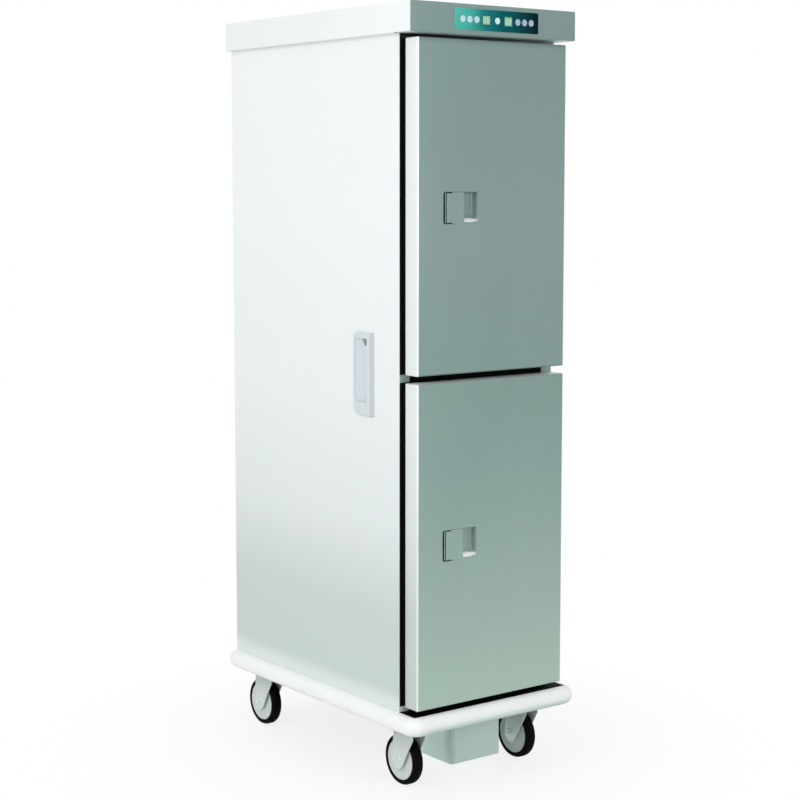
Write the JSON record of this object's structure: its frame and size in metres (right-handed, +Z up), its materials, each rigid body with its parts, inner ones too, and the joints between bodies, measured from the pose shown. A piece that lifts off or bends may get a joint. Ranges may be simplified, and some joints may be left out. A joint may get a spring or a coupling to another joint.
{
  "type": "heated holding cabinet",
  "caption": "Tall two-compartment insulated heated food cabinet on swivel casters, with paddle-latched doors, push handles, a control panel and tray runners.",
  "frame": {"origin": "on the floor, under the middle of the bumper's outline", "axes": "+X to the right seen from the front, +Y to the back, +Z up; the doors face -Y"},
  "size_m": [0.5028, 0.8108, 1.8],
  "materials": {
    "door_steel": "brushed stainless sheet",
    "body_steel": "pale satin stainless sheet",
    "inner_steel": "smooth stainless sheet",
    "frame_steel": "black powder coat",
    "zinc": "bright zinc-plated pressed steel",
    "dark_steel": "dull plated steel",
    "aluminium": "bare",
    "element": "heat-darkened steel tube",
    "white_plastic": "white moulded plastic",
    "nylon": "pale grey moulded nylon",
    "panel_plastic": "glossy teal membrane",
    "button_plastic": "pale translucent plastic",
    "black_plastic": "black nylon",
    "rubber": "black soft rubber",
    "tyre": "black solid rubber",
    "circuit": "green board with moulded parts",
    "foam": "rigid foam, pale yellow"
  },
  "bodies": {
    "cabinet": {"left_side_panel": "body_steel", "right_side_panel": "body_steel", "rear_panel": "body_steel", "roof_panel": "inner_steel", "front_frame": "body_steel", "upper_liner": "inner_steel", "lower_liner": "inner_steel", "wall_insulation": "foam", "chassis": "frame_steel", "bumper": "white_plastic", "top_cover": "body_steel", "control_panel": "panel_plastic", "circuit_boards": "circuit", "fan_motors": "dark_steel", "heating_elements": "element", "air_baffles": "inner_steel", "tray_runners": "inner_steel", "push_handles": "white_plastic", "electrics_box": "door_steel", "cable_gland": "black_plastic", "hinge_brackets": "zinc", "door_keepers": "zinc", "caster_plates": "zinc"},
    "upper_door": {"upper_door_skin": "door_steel", "upper_door_panel": "inner_steel", "upper_door_core": "foam", "upper_door_gasket": "rubber", "upper_door_hinges": "zinc", "upper_latch_housing": "door_steel"},
    "upper_paddle": {"upper_latch_paddle": "door_steel"},
    "upper_bolt": {"upper_latch_bolt": "zinc"},
    "lower_door": {"lower_door_skin": "door_steel", "lower_door_panel": "inner_steel", "lower_door_core": "foam", "lower_door_gasket": "rubber", "lower_door_hinges": "zinc", "lower_latch_housing": "door_steel"},
    "lower_paddle": {"lower_latch_paddle": "door_steel"},
    "lower_bolt": {"lower_latch_bolt": "zinc"},
    "upper_fan": {"upper_fan_wheel": "aluminium"},
    "lower_fan": {"lower_fan_wheel": "aluminium"},
    "button_1_cap": {"button_1": "button_plastic"},
    "button_2_cap": {"button_2": "button_plastic"},
    "button_3_cap": {"button_3": "button_plastic"},
    "button_4_cap": {"button_4": "button_plastic"},
    "button_5_cap": {"button_5": "button_plastic"},
    "button_6_cap": {"button_6": "button_plastic"},
    "button_7_cap": {"button_7": "button_plastic"},
    "front_left_caster": {"front_left_fork": "zinc"},
    "front_left_wheel": {"front_left_hub": "nylon", "front_left_tyre": "tyre"},
    "front_right_caster": {"front_right_fork": "zinc"},
    "front_right_wheel": {"front_right_hub": "nylon", "front_right_tyre": "tyre"},
    "rear_left_caster": {"rear_left_fork": "zinc"},
    "rear_left_wheel": {"rear_left_hub": "nylon", "rear_left_tyre": "tyre"},
    "rear_right_caster": {"rear_right_fork": "zinc"},
    "rear_right_wheel": {"rear_right_hub": "nylon", "rear_right_tyre": "tyre"}
  },
  "joints": [
    {"name": "upper_door_swing", "type": "hinge", "parent": "cabinet", "child": "upper_door", "pos_m": [0.2205, -0.3605, 1.34775], "axis": [0, 0, 1], "range_deg": [0, 180]},
    {"name": "upper_paddle_pull", "type": "hinge", "parent": "upper_door", "child": "upper_paddle", "pos_m": [-0.1415, -0.3805, 1.34775], "axis": [0, 0, -1], "range_deg": [0, 30], "stiffness_Nm_per_rad": 0.8, "springref_deg": -17.19},
    {"name": "upper_bolt_draw", "type": "slide", "parent": "upper_door", "child": "upper_bolt", "axis": [1, 0, 0], "range_m": [0, 0.0108]},
    {"name": "lower_door_swing", "type": "hinge", "parent": "cabinet", "child": "lower_door", "pos_m": [0.2205, -0.3605, 0.58125], "axis": [0, 0, 1], "range_deg": [0, 180]},
    {"name": "lower_paddle_pull", "type": "hinge", "parent": "lower_door", "child": "lower_paddle", "pos_m": [-0.1415, -0.3805, 0.58125], "axis": [0, 0, -1], "range_deg": [0, 30], "stiffness_Nm_per_rad": 0.8, "springref_deg": -17.19},
    {"name": "lower_bolt_draw", "type": "slide", "parent": "lower_door", "child": "lower_bolt", "axis": [1, 0, 0], "range_m": [0, 0.0108]},
    {"name": "upper_fan_spin", "type": "hinge", "parent": "cabinet", "child": "upper_fan", "pos_m": [0, 0.2915, 1.34775], "axis": [0, 1, 0], "continuous": true},
    {"name": "lower_fan_spin", "type": "hinge", "parent": "cabinet", "child": "lower_fan", "pos_m": [0, 0.2915, 0.58125], "axis": [0, 1, 0], "continuous": true},
    {"name": "button_1_press", "type": "slide", "parent": "cabinet", "child": "button_1_cap", "axis": [0, 1, 0], "range_m": [0, 0.0006], "stiffness_N_per_m": 600, "springref_m": -0.001},
    {"name": "button_2_press", "type": "slide", "parent": "cabinet", "child": "button_2_cap", "axis": [0, 1, 0], "range_m": [0, 0.0006], "stiffness_N_per_m": 600, "springref_m": -0.001},
    {"name": "button_3_press", "type": "slide", "parent": "cabinet", "child": "button_3_cap", "axis": [0, 1, 0], "range_m": [0, 0.0006], "stiffness_N_per_m": 600, "springref_m": -0.001},
    {"name": "button_4_press", "type": "slide", "parent": "cabinet", "child": "button_4_cap", "axis": [0, 1, 0], "range_m": [0, 0.0006], "stiffness_N_per_m": 600, "springref_m": -0.001},
    {"name": "button_5_press", "type": "slide", "parent": "cabinet", "child": "button_5_cap", "axis": [0, 1, 0], "range_m": [0, 0.0006], "stiffness_N_per_m": 600, "springref_m": -0.001},
    {"name": "button_6_press", "type": "slide", "parent": "cabinet", "child": "button_6_cap", "axis": [0, 1, 0], "range_m": [0, 0.0006], "stiffness_N_per_m": 600, "springref_m": -0.001},
    {"name": "button_7_press", "type": "slide", "parent": "cabinet", "child": "button_7_cap", "axis": [0, 1, 0], "range_m": [0, 0.0006], "stiffness_N_per_m": 600, "springref_m": -0.001},
    {"name": "front_left_swivel", "type": "hinge", "parent": "cabinet", "child": "front_left_caster", "pos_m": [-0.1725, -0.301, 0.136], "axis": [0, 0, 1], "continuous": true},
    {"name": "front_left_roll", "type": "hinge", "parent": "front_left_caster", "child": "front_left_wheel", "pos_m": [-0.1725, -0.269, 0.06], "axis": [1, 0, 0], "continuous": true},
    {"name": "front_right_swivel", "type": "hinge", "parent": "cabinet", "child": "front_right_caster", "pos_m": [0.1725, -0.301, 0.136], "axis": [0, 0, 1], "continuous": true},
    {"name": "front_right_roll", "type": "hinge", "parent": "front_right_caster", "child": "front_right_wheel", "pos_m": [0.1725, -0.269, 0.06], "axis": [1, 0, 0], "continuous": true},
    {"name": "rear_left_swivel", "type": "hinge", "parent": "cabinet", "child": "rear_left_caster", "pos_m": [-0.1725, 0.301, 0.136], "axis": [0, 0, 1], "continuous": true},
    {"name": "rear_left_roll", "type": "hinge", "parent": "rear_left_caster", "child": "rear_left_wheel", "pos_m": [-0.1725, 0.333, 0.06], "axis": [1, 0, 0], "continuous": true},
    {"name": "rear_right_swivel", "type": "hinge", "parent": "cabinet", "child": "rear_right_caster", "pos_m": [0.1725, 0.301, 0.136], "axis": [0, 0, 1], "continuous": true},
    {"name": "rear_right_roll", "type": "hinge", "parent": "rear_right_caster", "child": "rear_right_wheel", "pos_m": [0.1725, 0.333, 0.06], "axis": [1, 0, 0], "continuous": true}
  ],
  "couplings": [
    {"joint": "upper_bolt_draw", "follows": "upper_paddle_pull", "m_per_rad": 0.0195},
    {"joint": "lower_bolt_draw", "follows": "lower_paddle_pull", "m_per_rad": 0.0195}
  ]
}
